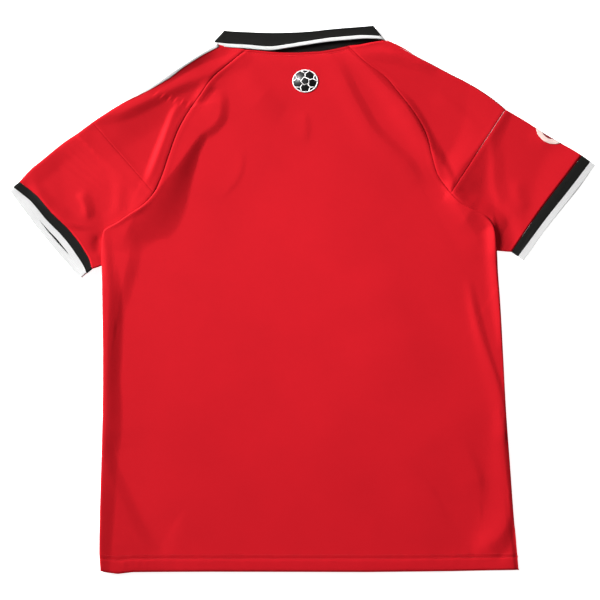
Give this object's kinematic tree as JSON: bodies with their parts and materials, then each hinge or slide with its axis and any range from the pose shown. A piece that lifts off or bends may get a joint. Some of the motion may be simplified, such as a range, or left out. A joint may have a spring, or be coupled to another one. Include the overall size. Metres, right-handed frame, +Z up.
{
  "type": "football jersey",
  "caption": "Short-sleeved raglan football jersey in red knit with a black rib polo collar and cuffs, laid flat face down",
  "frame": {"origin": "on the floor, below the middle of the laid-out jersey's bounding box", "axes": "+Z up from the floor, out of the jersey's back; +Y towards the collar; +X to the right as seen from above, which is the wearer's right"},
  "size_m": [0.7929, 0.7337, 0.0081],
  "materials": {
    "red_knit": "matte, fine plain knit",
    "black_rib": "matte rib knit",
    "white_rib": "matte rib knit",
    "white_tape": "matte woven tape",
    "badge_print": "smooth transfer, black with white lines",
    "patch_print": "matte patch, white ring on dark red"
  },
  "bodies": {
    "root": {"back_body": "red_knit", "front_body": "red_knit", "shoulder_left": "red_knit", "shoulder_right": "red_knit", "sleeve_left": "red_knit", "sleeve_right": "red_knit", "cuff_band_left": "black_rib", "cuff_band_right": "black_rib", "cuff_edge_left": "white_rib", "cuff_edge_right": "white_rib", "collar": "black_rib", "collar_tip": "white_rib", "shoulder_stripe_left": "white_tape", "shoulder_stripe_right": "white_tape", "neck_badge": "badge_print", "sleeve_patch": "patch_print"}
  },
  "joints": []
}
